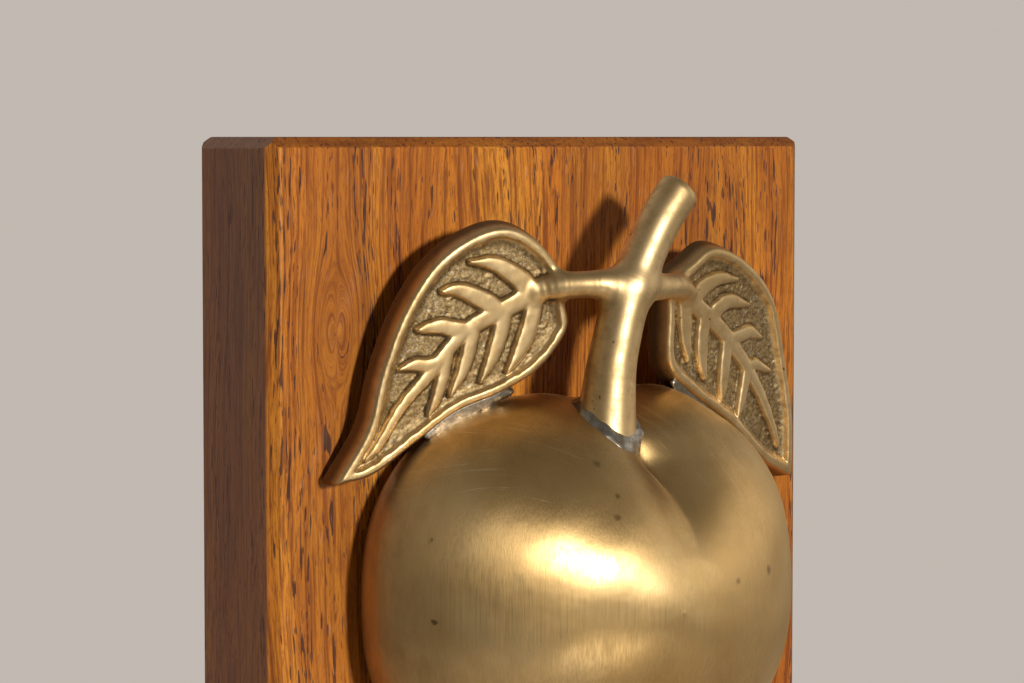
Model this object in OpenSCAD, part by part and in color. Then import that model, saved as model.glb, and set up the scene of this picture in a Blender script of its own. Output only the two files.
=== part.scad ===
// Rocker ink blotter with a cast brass peach for its handle, standing on its short end.
// The cover board stands up, the peach is on its front, and the rocker with the blotting
// paper is behind it.
// Frame: +X right, +Z up, the peach side faces -Y. The origin is the centre of the board's
// bottom end, and the handle axis runs along Y through the middle of the board.

/* [Cover board] */
// Width of the board
board_w = 80; // [80:1:90]
// Thickness of the board
board_t = 17.3; // [17:0.1:20]
// Length of the board, its height as it stands
board_l = 112; // [112:1:124]
// Width of the bevel along the board's edges
edge_c = 1.3; // [0.6:0.1:1.8]
// Radius that softens the bevel's own corners
edge_r = 0.5; // [0.2:0.1:0.6]

/* [Peach] */
// Half width of the fruit
fruit_rx = 29.8; // [29:0.1:30]
// Half height of the fruit
fruit_rz = 25; // [24.8:0.1:25.5]
// How far the fruit stands out in front of the board
fruit_d = 27.1; // [26.8:0.1:27.5]
// Wall of the cast shell
shell_wall = 1.3; // [1.2:0.1:1.6]
// Gap between the fruit's rim and the board
rim_gap = 0.4; // [0.3:0.1:0.6]
// Depth of the cleft at the stem
cleft_depth = 3.6; // [3:0.1:4]

/* [Stem and leaves] */
// Thickness of a leaf at its rim
leaf_t = 2.5; // [2.4:0.1:2.8]
// Depth of the leaf's recess below its rim
leaf_recess = 0.9; // [0.5:0.1:1.2]
// Radius of the stem above the twigs
stem_r = 2.6; // [2.4:0.1:2.7]
// Radius of the twigs that carry the leaves
twig_r = 1.6; // [1.4:0.1:1.7]

/* [Clamp screw] */
// Radius of the spindle's smooth journal
journal_r = 4; // [4]
// Radial running clearance of the journal in its bush
journal_play = 0.04; // [0.02:0.01:0.08]
// Pitch of the clamp screw
pitch = 1.25; // [1.25]
// Travel of the rocker between clamped and open
open_travel = 7.5; // [7.5]

/* [Rocker] */
// Width of the rocker block
rocker_w = 58; // [56:1:58]
// Thickness of the rocker block at its middle
rocker_mid = 15.3; // [15.2:0.1:15.5]
// Radius of the rocking sole
sole_r = 155; // [154:1:158]
// Radius of the rocker block's rounded ends
end_r = 3.7; // [3.6:0.1:3.9]
// Gap between board and rocker that holds the paper's folded ends
clamp_gap = 0.9; // [0.9:0.05:1.1]
// Thickness of the felt under the paper
felt_t = 1.2; // [1:0.1:1.3]
// Thickness of one blotting sheet
sheet_t = 0.4; // [0.3:0.05:0.4]
// Length of a sheet's end folded over between board and rocker
fold_l = 12; // [10:1:14]

/* [Hidden] */
$fn = 48;

ax_z = board_l / 2;            // height of the handle axis
yf = -board_t / 2;             // front face of the board
yb = board_t / 2;              // rear face of the board
eps = 0.03;                    // running gap between flat faces that slide
pin_dz = 32;                   // guide pins above and below the axis
pin_r = 2;                     // guide pin radius
flange_r = 8.5;                // bush flange
flange_t = 1.5;
bush_r = 6;
cb_r = 9;                      // rear counterbore
cb_d = 3;
washer_t = 0.8;
yr = yb + clamp_gap;           // flat face of the rocker block
insert_l = 9;                  // thread insert length
foot_cut = 0.5;                // taken off the board's lower end
plate_w = 50;                  // plate in the rocker's flat side
plate_l = 74;
plate_t = 2.4;
spindle_end = yr + insert_l + 0.25;

// ---- small helpers -------------------------------------------------------------
// a cylinder from y0 to y1 along +Y at height z
module ycyl(r, y0, y1, x = 0, z = ax_z) {
  translate([x, y0, z]) rotate([-90, 0, 0]) cylinder(r = r, h = y1 - y0);
}
// a cone along +Y, r0 at y0 and r1 at y1
module ycone(r0, r1, y0, y1, x = 0, z = ax_z) {
  translate([x, y0, z]) rotate([-90, 0, 0]) cylinder(r1 = r0, r2 = r1, h = y1 - y0);
}
// a solid of revolution about the handle axis; profile points are [radius, y]
module yturn(pts) {
  translate([0, 0, ax_z]) rotate([-90, 0, 0]) rotate_extrude() polygon(pts);
}
// rectangle a x b with corners bevelled by c, the bevel's own corners softened by r
module brect(a, b, c, r) {
  u = r * tan(22.5);           // from a softened corner's tip to where its arc ends
  pts = [for (q = [0 : 3]) let (sx = (q == 0 || q == 3) ? 1 : -1, sy = q < 2 ? 1 : -1,
      m1 = [a / 2 - r, b / 2 - c - u], m2 = [a / 2 - c - u, b / 2 - r],
      arc = concat([for (t = [0 : 9 : 45]) m1 + r * [cos(t), sin(t)]],
                   [for (t = [45 : 9 : 90]) m2 + r * [cos(t), sin(t)]]),
      n = len(arc))
    each [for (i = [0 : n - 1]) let (v = arc[sx * sy > 0 ? i : n - 1 - i]) [sx * v[0], sy * v[1]]]];
  polygon(pts);
}
// block a x b x c, standing on z = 0, all edges bevelled by e and softened by r
module bblock(a, b, c, e, r) {
  translate([0, 0, c / 2]) intersection() {
    translate([0, 0, -c / 2]) linear_extrude(c) brect(a, b, e, r);
    rotate([90, 0, 0]) translate([0, 0, -b / 2]) linear_extrude(b) brect(a, c, e, r);
    rotate([90, 0, 90]) translate([0, 0, -a / 2]) linear_extrude(a) brect(b, c, e, r);
  }
}

// ---- cover board and what is fixed in it -----------------------------------------
module cover_board() {
  color([0.72, 0.36, 0.10]) difference() {
    intersection() {
      // the foot is sanded flat, so its edges are crisp and its bevel is cut short
      translate([0, 0, -foot_cut]) bblock(board_w, board_t, board_l + foot_cut, edge_c, edge_r);
      translate([-board_w, -board_t, 0]) cube([2 * board_w, 2 * board_t, 2 * board_l]);
    }
    ycyl(bush_r, yf - 1, yb + 1);
    ycyl(flange_r, yf - 1, yf + flange_t);
    ycyl(cb_r, yb - cb_d, yb + 1);
    for (s = [-1, 1]) ycyl(pin_r, yb - 8, yb + 1, z = ax_z + s * pin_dz);
  }
}

module cover_bush() {
  color([0.76, 0.60, 0.32]) yturn([
    [journal_r + journal_play, yf], [flange_r - 0.3, yf], [flange_r, yf + 0.3],
    [flange_r, yf + flange_t], [bush_r, yf + flange_t], [bush_r, yb - cb_d],
    [journal_r + journal_play, yb - cb_d]]);
}

module guide_pins() {
  color([0.78, 0.63, 0.36]) for (s = [-1, 1]) {
    ycyl(pin_r, yb - 8, yb + 7.6, z = ax_z + s * pin_dz);
    ycone(pin_r, pin_r - 0.4, yb + 7.6, yb + 8, z = ax_z + s * pin_dz);
  }
}

module thrust_washer() {
  color([0.30, 0.28, 0.26]) difference() {
    ycyl(9, yf - washer_t, yf);
    ycyl(journal_r + 0.25, yf - washer_t - 1, yf + 1);
  }
}

// ---- peach ------------------------------------------------------------------------
fn_e = 2.58;                   // exponent of the fruit's outline
fp_e = 1.8;                    // exponent of its profile toward the front
fc_d = 6.3;                    // the fruit's widest section, in front of the board
fruit_c = [0, yf - fc_d, ax_z + 0.35];
// value of a rounded-square style arc
function sgn_pow(v, e) = sign(v) * pow(abs(v), e);
function se_len(a) = pow(pow(abs(cos(a)), fn_e) + pow(abs(sin(a)), fn_e), 1 / fn_e);
function ramp(t) = let (u = min(1, max(0, t))) u * u * (3 - 2 * u);
// depth of the cleft at x, for a point at height fraction h (1 top) and front fraction f;
// it bends to the right on its way down the front
function cleft(x, h, f) =
  h <= 0 ? 0 :
  let (t = x - 0.5 - 3 * ramp((f - 0.4) / 0.55),
       g = 0.5 * exp(-pow(t / 2.4, 2)) + 0.5 * exp(-pow(t / 6, 2)))
  cleft_depth * g * pow(h, 0.5) * (f < 0.45 ? 1 : max(0, (0.97 - f) / 0.52))
  - 1.1 * exp(-pow((x - 11.5) / 5.5, 2)) * h * h * max(0, 1 - f);
// a point of the fruit: angle a around the axis, front distance dd from the centre
// section, wall offset w inward
function fruit_p(a, dd, w) =
  let (rx = fruit_rx - w, rz = fruit_rz - w, ry = fruit_d - fc_d - w,
       k = pow(max(0, 1 - pow(abs(dd) / ry, fp_e)), 1 / fp_e),
       x = rx * k * cos(a) / se_len(a), z = rz * k * sin(a) / se_len(a),
       kk = pow(k, fp_e - fn_e),
       nx = kk * sgn_pow(x / rx, fn_e - 1) / rx, nz = kk * sgn_pow(z / rz, fn_e - 1) / rz,
       nd = sgn_pow(dd / ry, fp_e - 1) / ry, nl = norm([nx, nz, nd]),
       g = cleft(x, z / rz, max(0, dd / ry)),
       rim = min(1, max(0, (dd + fc_d - rim_gap) / 4)))
  [fruit_c[0] + x - g * nx / nl, fruit_c[1] - dd + g * nd / nl * rim, fruit_c[2] + z - g * nz / nl];
fa = 72;                       // steps around
fl = 20;                       // steps from rim to front
dd0 = rim_gap - fc_d;
function dd_at(j, ry) = ry * sin(asin(dd0 / ry) + (90 - asin(dd0 / ry)) * j / fl);

module peach_shell() {
  ro = fruit_d - fc_d;
  ri = ro - shell_wall;
  outer = [for (j = [0 : fl - 1], i = [0 : fa - 1]) fruit_p(360 * i / fa, dd_at(j, ro), 0)];
  inner = [for (j = [0 : fl - 1], i = [0 : fa - 1]) fruit_p(360 * i / fa, dd_at(j, ri), shell_wall)];
  n = fa * fl;
  pole_o = 2 * n;
  pole_i = 2 * n + 1;
  pts = concat(outer, inner, [[fruit_c[0], fruit_c[1] - ro, fruit_c[2]],
                              [fruit_c[0], fruit_c[1] - ri, fruit_c[2]]]);
  quads_o = [for (j = [0 : fl - 2], i = [0 : fa - 1]) let (k = (i + 1) % fa)
    each [[j * fa + i, j * fa + k, (j + 1) * fa + k], [j * fa + i, (j + 1) * fa + k, (j + 1) * fa + i]]];
  quads_i = [for (j = [0 : fl - 2], i = [0 : fa - 1]) let (k = (i + 1) % fa)
    each [[n + j * fa + k, n + j * fa + i, n + (j + 1) * fa + k], [n + (j + 1) * fa + k, n + j * fa + i, n + (j + 1) * fa + i]]];
  caps = [for (i = [0 : fa - 1]) let (k = (i + 1) % fa)
    each [[(fl - 1) * fa + i, (fl - 1) * fa + k, pole_o], [n + (fl - 1) * fa + k, n + (fl - 1) * fa + i, pole_i]]];
  rim = [for (i = [0 : fa - 1]) let (k = (i + 1) % fa)
    each [[k, i, n + i], [k, n + i, n + k]]];
  color([0.62, 0.49, 0.28]) polyhedron(pts, concat(quads_o, quads_i, caps, rim));
}

// ---- stem and leaves, one casting ------------------------------------------------
st_d = 13;                     // stem axis in front of the board
st_base = [-1, yf - st_d, ax_z + 20.8];
st_fork = [2, yf - st_d, ax_z + 37.8];
st_tip = [10.2, yf - st_d, ax_z + 49.8];
tilt_a = 8;                    // a leaf turns back toward its outer side
tilt_e = 5.4;                  // and leans forward at its top
leaf_l0 = [-5.5, yf - 10.5, ax_z + 39];
leaf_r0 = [9.8, yf - 10.3, ax_z + 37.9];
// outline control points from the twig, over the top, to the tip, and back
leaf_l_up = [[0, -3], [-0.6, 0.6], [-4, 4.6], [-8, 6.3], [-12.5, 5.2], [-17.2, 1.8], [-21, -4],
             [-23.5, -11], [-25, -17.5], [-28.5, -23.5]];
leaf_l_dn = [[-28.5, -23.5], [-24, -22.3], [-18.5, -18.4], [-13.5, -15], [-8, -13], [-3, -10.2],
             [0.2, -6], [0, -3]];
leaf_r_up = [[-1.5, -3.4], [-1.5, 0.4], [-5, 2.8], [-9, 4.4], [-14.5, 2.2], [-19.2, -2.4],
             [-22.5, -10], [-24.6, -17], [-25.6, -25]];
leaf_r_dn = [[-25.6, -25], [-20.3, -22.6], [-13.6, -17.5], [-6.8, -13.5], [-2.2, -9.8], [-1.5, -3.4]];
// smooth curve through control points
function cr(p0, p1, p2, p3, t) =
  0.5 * (2 * p1 + (p2 - p0) * t + (2 * p0 - 5 * p1 + 4 * p2 - p3) * t * t
  + (3 * p1 - p0 - 3 * p2 + p3) * t * t * t);
function curve(p, m) = let (n = len(p)) [for (i = [0 : n - 2], s = [0 : m - 1])
  cr(i == 0 ? 2 * p[0] - p[1] : p[i - 1], p[i], p[i + 1],
     i == n - 2 ? 2 * p[n - 1] - p[n - 2] : p[i + 2], s / m)];
// moves an outline toward its own inside along its edge normals
function inset(o, d) = let (n = len(o)) [for (i = [0 : n - 1])
  let (t = o[(i + 1) % n] - o[(i + n - 1) % n], l = norm(t)) o[i] + d * [-t[1], t[0]] / l];

// a tapered bar from a to b, wa wide at a and wb at b
module bar(a, b, wa, wb) {
  t = (b - a) / norm(b - a);
  q = [-t[1], t[0]];
  polygon([a - q * wa / 2, b - q * wb / 2, b + q * wb / 2, a + q * wa / 2]);
}
// one leaf in its own plane, the front of its rim at z = 0
module leaf(up, dn, cx) {
  o = concat(curve(up, 3), curve(dn, 3));
  c = [cx, -6.5];
  difference() {
    translate([0, 0, -leaf_t]) linear_extrude(leaf_t) polygon(o);
    translate([0, 0, -leaf_recess]) linear_extrude(leaf_recess + 1)
      polygon([for (p = o) c + (p - c) * 0.83]);
  }
  rib = [[-1.2, -0.8], [-6.5, -3], [-12.5, -6], [-17.2, -11], [-22.5, -17.5]];
  translate([0, 0, -leaf_recess - 0.1]) linear_extrude(leaf_recess - 0.05) {
    for (i = [0 : 3]) bar(rib[i], rib[i + 1], 2 - 0.4 * i, 1.6 - 0.4 * i);
    bar([-5, -2.2], [-10.5, 2], 1.8, 0.9);
    bar([-8.5, -3.8], [-15, -1], 1.8, 0.9);
    bar([-12.2, -6], [-18.4, -5.6], 1.7, 0.8);
    bar([-15.6, -9.4], [-20.3, -10], 1.5, 0.7);
    bar([-4, -1.8], [-5.6, -8.8], 1.6, 0.9);
    bar([-8, -3.6], [-9.4, -10.4], 1.6, 0.9);
    bar([-12, -5.8], [-13.2, -12.2], 1.5, 0.8);
    bar([-15.4, -9], [-16.4, -14.6], 1.4, 0.7);
  }
}
// a round bar between two points
module rod(a, b, ra, rb) {
  v = b - a;
  l = norm(v);
  translate(a) rotate([0, acos(v[2] / l), atan2(v[1], v[0])]) cylinder(r1 = ra, r2 = rb, h = l, $fn = 32);
}

module stem_and_leaves() {
  color([0.66, 0.53, 0.31]) union() {
    rod(st_base, st_fork + (st_fork - st_base) * 0.05, stem_r + 0.6, stem_r + 0.3);
    rod(st_fork, st_tip, stem_r + 0.2, stem_r);
    rod(st_fork + [0, 0.4, 0], leaf_l0 + [-1.6, leaf_t / 2 - 0.1, -0.9], twig_r, twig_r - 0.45);
    rod(st_fork + [0, 0.4, 0], leaf_r0 + [2.6, leaf_t / 2 + 0.3, -1.2], twig_r, twig_r - 0.45);
    translate(leaf_l0) rotate([0, 0, -tilt_a]) rotate([90 + tilt_e, 0, 0]) leaf(leaf_l_up, leaf_l_dn, -13);
    translate(leaf_r0) rotate([0, 0, tilt_a]) rotate([90 + tilt_e, 0, 0]) mirror([1, 0, 0]) leaf(leaf_r_up, leaf_r_dn, -13);
  }
}

// ---- solder -------------------------------------------------------------------------
module stem_solder() {
  v = st_fork - st_base;
  color([0.66, 0.66, 0.65]) difference() {
    translate(st_base + v / norm(v) * -0.6) rotate([0, atan2(v[0], v[2]), 0])
      cylinder(r1 = 4.6, r2 = 3.3, h = 2.2, $fn = 32);
    rod(st_base - v / norm(v) * 2, st_fork, stem_r + 0.66, stem_r + 0.3);
  }
}
// a bead of solder along a short line, turned from one profile
module bead(a, b, r) {
  v = b - a;
  l = norm(v);
  translate(a) rotate([0, acos(v[2] / l), atan2(v[1], v[0])]) rotate_extrude($fn = 32)
    polygon(concat([for (t = [-90 : 15 : 0]) [r * cos(t), r * sin(t)]],
                   [for (t = [0 : 15 : 90]) [r * cos(t), l + r * sin(t)]]));
}
module leaf_solder_left() {
  color([0.66, 0.66, 0.65]) bead([-20.5, yf - 5.8, ax_z + 22.1], [-13, yf - 6.6, ax_z + 25.2], 1.3);
}
module leaf_solder_right() {
  color([0.66, 0.66, 0.65]) bead([15.5, yf - 6.6, ax_z + 24.3], [21.5, yf - 5.8, ax_z + 21.3], 1.2);
}

// ---- what holds the peach on its spindle ------------------------------------------
br_y1 = yf - washer_t - eps - 2.5;     // rear face of the bridge, against the collar
br_t = 3.5;
br_y0 = br_y1 - br_t;
br_l = 54.4;
module handle_bridge() {
  color([0.70, 0.56, 0.33]) difference() {
    translate([0, (br_y0 + br_y1) / 2, ax_z]) intersection() {
      cube([br_l, br_t, 10], center = true);
      rotate([90, 0, 0]) translate([0, 0, -5]) cylinder(r = br_l / 2, h = 10);
    }
    ycyl(journal_r + 0.05, br_y0 - 1, br_y1 + 1);
  }
}
module bridge_solder() {
  color([0.66, 0.66, 0.65]) for (s = [-1, 1])
    bead([s * (br_l / 2 + 0.2), br_y1 - 1.4, ax_z - 3.6], [s * (br_l / 2 + 0.2), br_y1 - 1.4, ax_z + 3.6], 1.1);
}

th_r = 3.95;                   // crest radius of the screw
th_d = 0.55;                   // depth of the thread form
// thread form as rings, from y0 for n turns
function rings(y0, n) = [for (i = [0 : n - 1]) each [
  [th_r - th_d, y0 + i * pitch], [th_r, y0 + i * pitch + 0.45],
  [th_r, y0 + i * pitch + 0.62], [th_r - th_d, y0 + i * pitch + 1.07]]];
stud_y0 = br_y0 - 7.6;
module spindle() {
  front = rings(stud_y0 + 0.3, 5);
  rear = rings(yb + 0.6, 7);
  color([0.72, 0.70, 0.66]) yturn(concat(
    [[0, stud_y0], [3, stud_y0]], front,
    [[journal_r, br_y0 - 0.6], [journal_r, br_y1], [8, br_y1], [8, yf - washer_t - eps],
     [journal_r, yf - washer_t - eps],
     [journal_r, yb - cb_d + eps + washer_t + eps], [3.55, yb - cb_d + eps + washer_t + eps],
     [3.55, yb - cb_d + washer_t + 1.1], [journal_r - 0.05, yb - cb_d + washer_t + 1.1],
     [journal_r - 0.05, yb + 0.2], [th_r - th_d, yb + 0.4]],
    rear,
    [[3.2, spindle_end - 0.6], [2.6, spindle_end], [0, spindle_end]]));
}
module lock_washer() {
  color([0.74, 0.74, 0.74]) difference() {
    ycyl(7, br_y0 - 1, br_y0);
    ycyl(4.15, br_y0 - 2, br_y0 + 1);
    translate([4.2, br_y0 - 2, ax_z - 0.4]) cube([4, 3, 0.8]);
  }
}
module lock_nut() {
  color([0.74, 0.74, 0.74]) difference() {
    intersection() {
      translate([0, br_y0 - 6, ax_z]) rotate([-90, 0, 0]) cylinder(r = 6.5 / cos(30), h = 5, $fn = 6);
      ycone(6.4, 11.4, br_y0 - 6, br_y0 - 1);
    }
    ycyl(3.99, br_y0 - 7, br_y0);
  }
}
module rear_washer() {
  color([0.74, 0.74, 0.74]) difference() {
    ycyl(8, yb - cb_d + eps, yb - cb_d + eps + washer_t);
    ycyl(journal_r + 0.1, yb - cb_d - 1, yb);
  }
}
module retaining_ring() {
  y0 = yb - cb_d + washer_t + 2 * eps;
  color([0.35, 0.35, 0.37]) difference() {
    union() {
      ycyl(5.6, y0, y0 + 1);
      for (s = [-1, 1]) ycyl(1.5, y0, y0 + 1, x = s * 1.9, z = ax_z + 5.5);
    }
    ycyl(3.6, y0 - 1, y0 + 2);
    translate([-0.6, y0 - 1, ax_z]) cube([1.2, 3, 9]);
    for (s = [-1, 1]) ycyl(0.6, y0 - 1, y0 + 2, x = s * 2, z = ax_z + 5.6);
  }
}

// ---- rocker ---------------------------------------------------------------------------
arc_y = yr + rocker_mid - sole_r;      // centre of the sole's arc
// half distance between the centres of the rounded ends
end_z = sqrt((rocker_mid - 2 * end_r) * (2 * sole_r - rocker_mid));
// side profile in [y, z], grown by t on the sole and by tf on the flat side
module side(t, tf) {
  translate([yr - tf, -end_z]) square([end_r + tf, 2 * end_z]);
  intersection() {
    for (s = [-1, 1]) translate([yr + end_r, s * end_z]) circle(r = end_r + t);
    translate([yr - tf, -board_l]) square([60, 2 * board_l]);
  }
  intersection() {
    translate([arc_y, 0]) circle(r = sole_r + t, $fn = 360);
    translate([yr, -board_l]) square([60, 2 * board_l]);
    polygon([[arc_y, 0], [arc_y + 2 * (yr + end_r - arc_y), -2 * end_z],
             [arc_y + 2 * (yr + end_r - arc_y), 2 * end_z]]);
  }
}
// extrudes a side profile across the width w
module across(w) {
  translate([-w / 2, 0, ax_z]) rotate([90, 0, 90]) linear_extrude(w) children();
}

module rocker_block() {
  color([0.60, 0.34, 0.14]) difference() {
    across(rocker_w) side(0, 0);
    translate([-plate_w / 2, yr - 1, ax_z - plate_l / 2]) cube([plate_w, plate_t + 1, plate_l]);
    for (i = [-1, 1], j = [-1, 1]) ycyl(0.9, yr - 1, yr + 8, x = i * (plate_w / 2 - 5), z = ax_z + j * (plate_l / 2 - 5));
    ycyl(6, yr - 1, yr + insert_l);
    ycyl(4.6, yr - 1, yr + insert_l + 1.2);
    for (s = [-1, 1]) ycyl(3, yr - 1, yr + 7.6, z = ax_z + s * pin_dz);
    for (a = [90, 210, 330]) ycyl(0.9, yr - 1, yr + 7.4, x = 8 * cos(a), z = ax_z + 8 * sin(a));
  }
}
// a steel plate let flush into the flat side; it gives the rocker its weight
module rocker_plate() {
  color([0.70, 0.70, 0.70]) difference() {
    translate([-plate_w / 2, yr, ax_z - plate_l / 2]) cube([plate_w, plate_t, plate_l]);
    ycyl(10, yr - 1, yr + 3);
    for (s = [-1, 1]) ycyl(3.1, yr - 1, yr + 3, z = ax_z + s * pin_dz);
    for (i = [-1, 1], j = [-1, 1]) {
      ycyl(1, yr - 1, yr + 3, x = i * (plate_w / 2 - 5), z = ax_z + j * (plate_l / 2 - 5));
      ycone(1.9, 1, yr - 0.05, yr + 0.85, x = i * (plate_w / 2 - 5), z = ax_z + j * (plate_l / 2 - 5));
    }
  }
}
module thread_insert() {
  color([0.76, 0.60, 0.32]) difference() {
    yturn([[4.02, yr], [9.9, yr], [9.9, yr + plate_t], [6, yr + plate_t], [6, yr + insert_l], [4.02, yr + insert_l]]);
    for (a = [90, 210, 330]) {
      ycyl(0.95, yr - 1, yr + 3, x = 8 * cos(a), z = ax_z + 8 * sin(a));
      ycone(1.75, 0.95, yr - 0.05, yr + 0.8, x = 8 * cos(a), z = ax_z + 8 * sin(a));
    }
  }
}
module rocker_screws() {
  places = concat([for (a = [90, 210, 330]) [8 * cos(a), 8 * sin(a)]],
                  [for (i = [-1, 1], j = [-1, 1]) [i * (plate_w / 2 - 5), j * (plate_l / 2 - 5)]]);
  color([0.72, 0.72, 0.72]) for (q = places) translate([q[0], 0, q[1]]) difference() {
    union() {
      ycone(1.6, 0.9, yr + 0.05, yr + 0.75);
      ycyl(0.9, yr + 0.7, yr + 6);
      ycone(0.9, 0.1, yr + 6, yr + 7.2);
    }
    translate([-2, yr - 0.5, ax_z - 0.2]) cube([4, 0.9, 0.4]);
  }
}
module guide_sleeves() {
  color([0.76, 0.60, 0.32]) for (s = [-1, 1]) difference() {
    ycyl(3, yr + 0.05, yr + 7.5, z = ax_z + s * pin_dz);
    ycyl(pin_r + 0.05, yr - 1, yr + 9, z = ax_z + s * pin_dz);
  }
}
module sole_felt() {
  color([0.20, 0.36, 0.22]) across(rocker_w - 0.6) difference() {
    side(felt_t, 0);
    side(0, 0.01);
  }
}
// one sheet: over the sole, round the ends and folded in on the flat side
module sheet(w, t0, f0) {
  across(w) difference() {
    side(t0 + sheet_t, f0 + sheet_t);
    side(t0, f0);
    translate([yr - 5, -end_z + fold_l]) square([5, 2 * (end_z - fold_l)]);
  }
}
module blotting_sheet_inner() {
  color([0.90, 0.88, 0.83]) sheet(rocker_w - 1, felt_t, 0);
}
module blotting_sheet_outer() {
  color([0.93, 0.91, 0.86]) sheet(rocker_w - 2, felt_t + sheet_t, sheet_t);
}

cover_board();
cover_bush();
guide_pins();
thrust_washer();
peach_shell();
stem_and_leaves();
stem_solder();
leaf_solder_left();
leaf_solder_right();
handle_bridge();
bridge_solder();
spindle();
lock_washer();
lock_nut();
rear_washer();
retaining_ring();
rocker_block();
rocker_plate();
thread_insert();
rocker_screws();
guide_sleeves();
sole_felt();
blotting_sheet_inner();
blotting_sheet_outer();
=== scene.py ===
# Ink blotter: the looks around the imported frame. Lengths are worked out in mm and
# turned into metres when a mesh is made.
import math
import bpy
import numpy as np
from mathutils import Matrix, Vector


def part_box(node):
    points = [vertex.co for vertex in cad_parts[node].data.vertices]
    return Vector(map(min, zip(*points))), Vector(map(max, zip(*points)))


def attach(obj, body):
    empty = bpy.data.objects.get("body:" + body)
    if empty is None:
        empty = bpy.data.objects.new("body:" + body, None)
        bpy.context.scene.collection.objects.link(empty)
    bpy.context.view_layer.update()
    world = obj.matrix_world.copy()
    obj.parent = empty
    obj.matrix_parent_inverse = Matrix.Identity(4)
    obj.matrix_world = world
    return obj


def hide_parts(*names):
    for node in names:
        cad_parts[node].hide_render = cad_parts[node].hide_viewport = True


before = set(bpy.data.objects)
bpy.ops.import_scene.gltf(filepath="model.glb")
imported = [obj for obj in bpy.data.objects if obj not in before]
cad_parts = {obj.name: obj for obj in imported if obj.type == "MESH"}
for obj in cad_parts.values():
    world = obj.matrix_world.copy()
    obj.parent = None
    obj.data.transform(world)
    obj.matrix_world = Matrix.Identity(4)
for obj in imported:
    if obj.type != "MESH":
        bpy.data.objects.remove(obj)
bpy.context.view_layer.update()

import openvdb
from mathutils import Vector, Euler

MM = 0.001
b_lo, b_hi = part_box("cover_board")
YF = b_lo.y / MM                 # front face of the board
YB = b_hi.y / MM                 # rear face of the board
TOP = b_hi.z / MM
AX = (b_lo.z + b_hi.z) / 2 / MM  # height of the handle axis

# ---------------------------------------------------------------- camera
scene = bpy.context.scene
cam = bpy.data.objects.new("camera", bpy.data.cameras.new("camera"))
scene.collection.objects.link(cam)
cam.data.lens = 116.0
cam.data.sensor_width = 36.0
cam.location = (-0.2365, -0.3381, TOP * MM)
cam.rotation_euler = Euler((math.radians(90 - 3.55), 0, math.radians(-35)))
cam.data.clip_start = 0.01
cam.data.clip_end = 20
scene.camera = cam


# ---------------------------------------------------------------- small helpers
def smin(a, b, k):
    h = np.clip(0.5 + 0.5 * (b - a) / k, 0, 1)
    return b + (a - b) * h - k * h * (1 - h)


def smax(a, b, k):
    return -smin(-a, -b, k)


def sstep(x):
    x = np.clip(x, 0, 1)
    return x * x * (3 - 2 * x)


def curve(p, m):
    """Smooth curve through control points, m steps a span."""
    p = np.array(p, float)
    q = np.vstack([2 * p[0] - p[1], p, 2 * p[-1] - p[-2]])
    out = []
    for i in range(len(p) - 1):
        p0, p1, p2, p3 = q[i : i + 4]
        for s in range(m):
            t = s / m
            out.append(0.5 * (2 * p1 + (p2 - p0) * t + (2 * p0 - 5 * p1 + 4 * p2 - p3) * t * t
                              + (3 * p1 - p0 - 3 * p2 + p3) * t ** 3))
    out.append(p[-1])
    return np.array(out)


def seg_field(coords, pts, rad=None):
    """Distance to a chain of segments, less a radius that varies along it."""
    best = None
    for i in range(len(pts) - 1):
        a, ab = pts[i], pts[i + 1] - pts[i]
        rel = [c - a[k] for k, c in enumerate(coords)]
        t = np.clip(sum(r * ab[k] for k, r in enumerate(rel)) / (ab @ ab), 0, 1)
        d = np.sqrt(sum((r - t * ab[k]) ** 2 for k, r in enumerate(rel)))
        if rad is not None:
            d = d - (rad[i] * (1 - t) + rad[i + 1] * t)
        best = d if best is None else np.minimum(best, d)
    return best


def soft_noise(shape, seed, passes):
    """Repeatable smooth noise on a lattice, about -1 to 1."""
    a = np.random.default_rng(seed).standard_normal(shape).astype(np.float32)
    for _ in range(passes):
        for ax in range(a.ndim):
            a = (np.roll(a, 1, ax) + 2 * a + np.roll(a, -1, ax)) / 4
    return a / (np.abs(a).std() * 2.5 + 1e-9)


def new_mesh(name, pts_mm, faces, smooth=True):
    me = bpy.data.meshes.new(name)
    pts = (np.asarray(pts_mm, float) * MM)
    me.from_pydata(pts.tolist(), [], faces)
    me.validate()
    if smooth:
        me.shade_smooth()
    ob = bpy.data.objects.new(name, me)
    scene.collection.objects.link(ob)
    return ob


def grid_mesh(name, field, origin, h, band=0.9):
    """Turns a signed distance field on a regular lattice into a closed quad mesh."""
    g = openvdb.FloatGrid(band)
    g.copyFromArray(np.clip(field, -band, band).astype(np.float32), tolerance=0.0)
    pts, quads = g.convertToQuads(isovalue=0.0)
    pts = np.array(pts, float) * h + np.array(origin, float)
    me = bpy.data.meshes.new(name)
    q = np.array(quads, np.int32)[:, ::-1]
    me.vertices.add(len(pts))
    me.vertices.foreach_set("co", (pts * MM).ravel())
    me.loops.add(q.size)
    me.loops.foreach_set("vertex_index", q.ravel())
    me.polygons.add(len(q))
    me.polygons.foreach_set("loop_start", np.arange(0, q.size, 4, dtype=np.int32))
    me.update(calc_edges=True)
    me.validate()
    me.shade_smooth()
    ob = bpy.data.objects.new(name, me)
    scene.collection.objects.link(ob)
    # outward faces: a closed solid has positive volume
    co = pts[q]
    vol = np.einsum("ij,ij->i", co[:, 0], np.cross(co[:, 1], co[:, 2])).sum() \
        + np.einsum("ij,ij->i", co[:, 0], np.cross(co[:, 2], co[:, 3])).sum()
    if vol < 0:
        me.flip_normals()
    return ob, pts


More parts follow.
